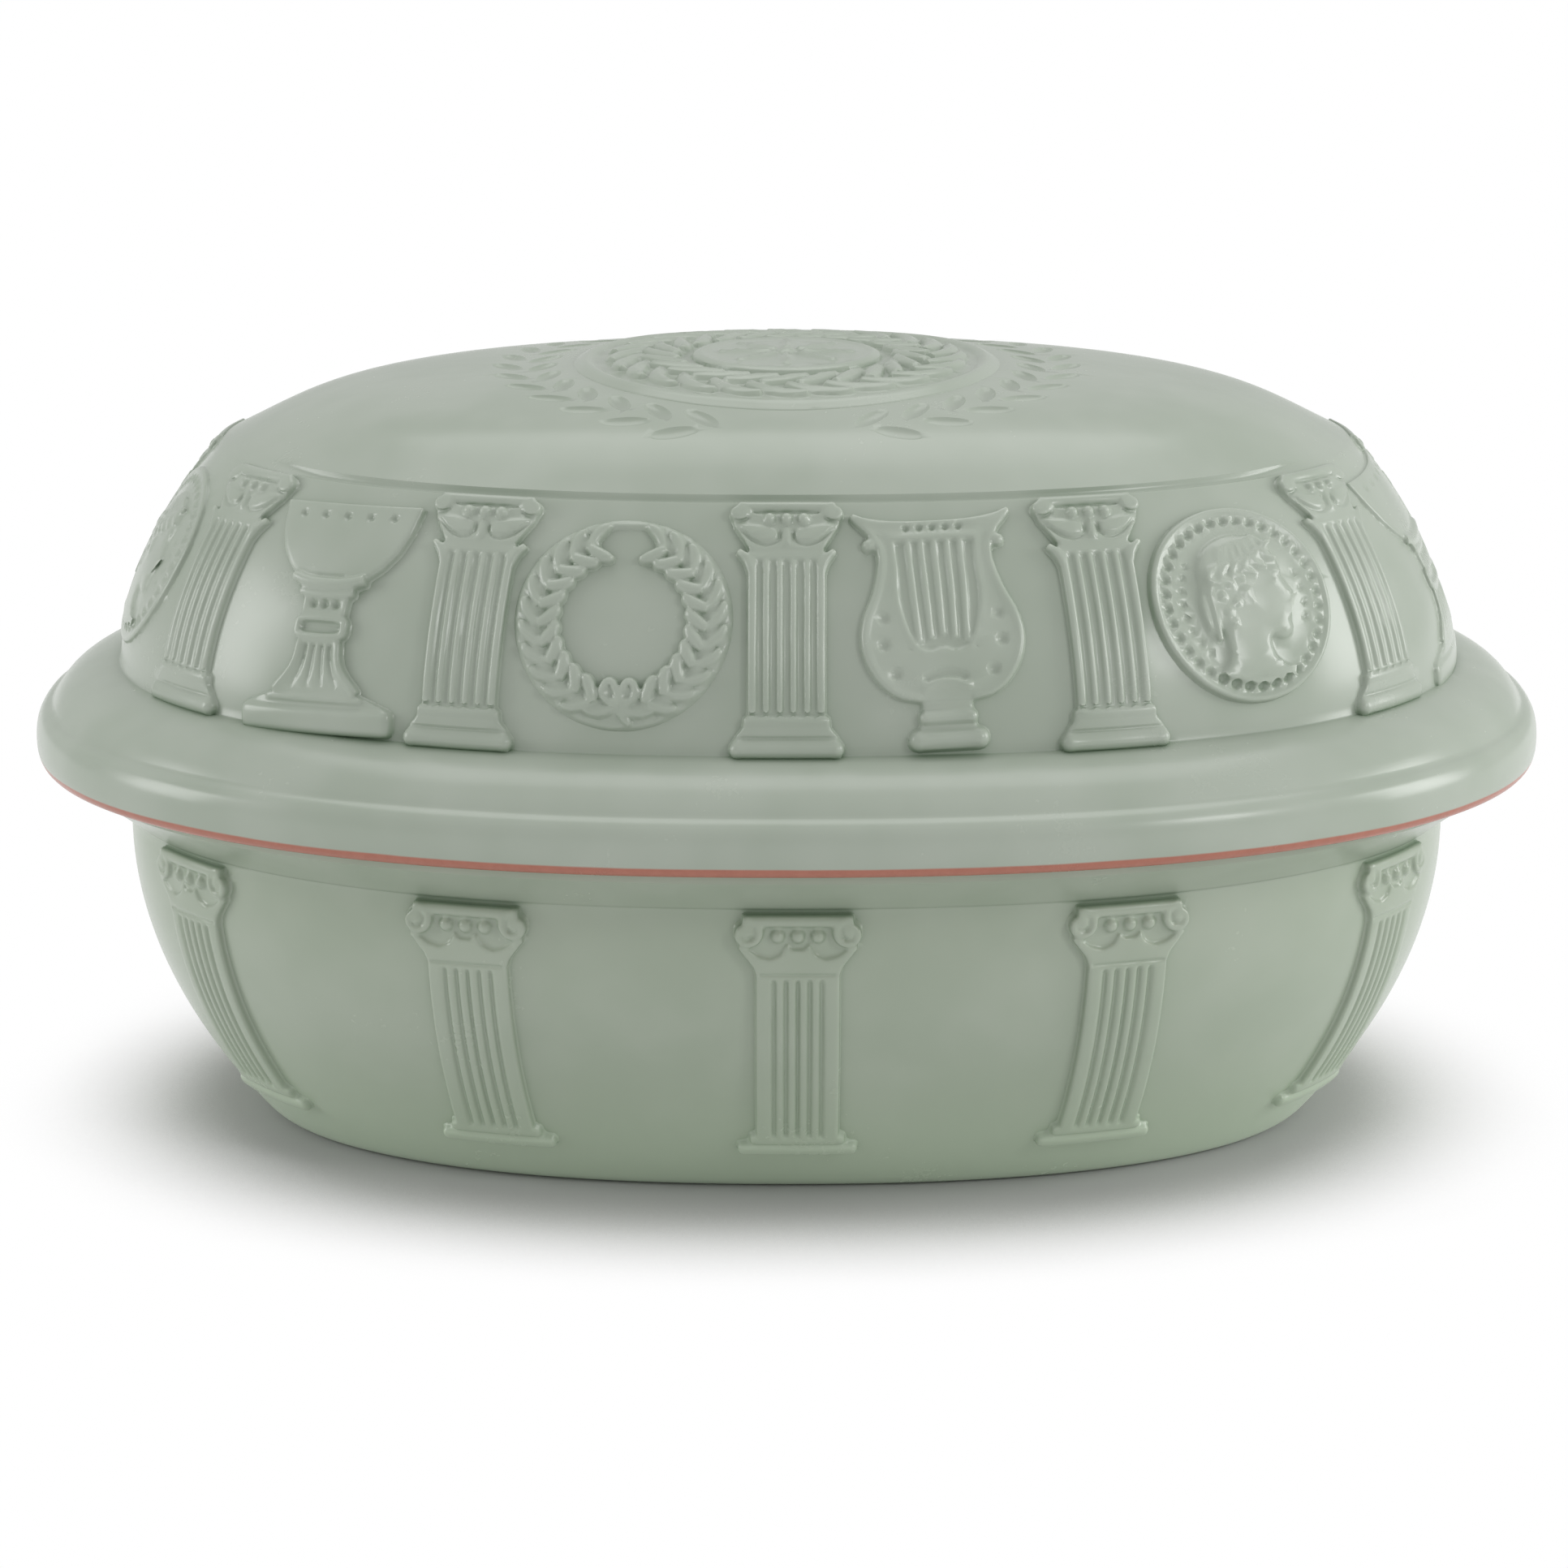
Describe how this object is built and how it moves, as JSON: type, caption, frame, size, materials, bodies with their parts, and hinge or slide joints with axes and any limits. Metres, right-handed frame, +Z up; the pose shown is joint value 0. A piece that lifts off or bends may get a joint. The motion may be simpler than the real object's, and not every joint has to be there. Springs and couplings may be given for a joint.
{
  "type": "clay roaster",
  "caption": "Oval clay roaster in sage-green coated terracotta: a deep dish and a domed lid with a broad flange, both with classical columns and emblems in relief.",
  "frame": {"origin": "on the table, under the middle of the dish's flat foot", "axes": "+X along the long axis of the oval, -Y out of the front, +Z up"},
  "size_m": [0.345, 0.242, 0.176],
  "materials": {
    "sage_coat": "matte sage-green coat on fired clay"
  },
  "bodies": {
    "dish": {"dish": "sage_coat"},
    "lid": {"lid": "sage_coat"}
  },
  "joints": [
    {"name": "lid_lift", "type": "slide", "parent": "dish", "child": "lid", "axis": [0, 0, 1], "range_m": [0, 0.2]}
  ]
}
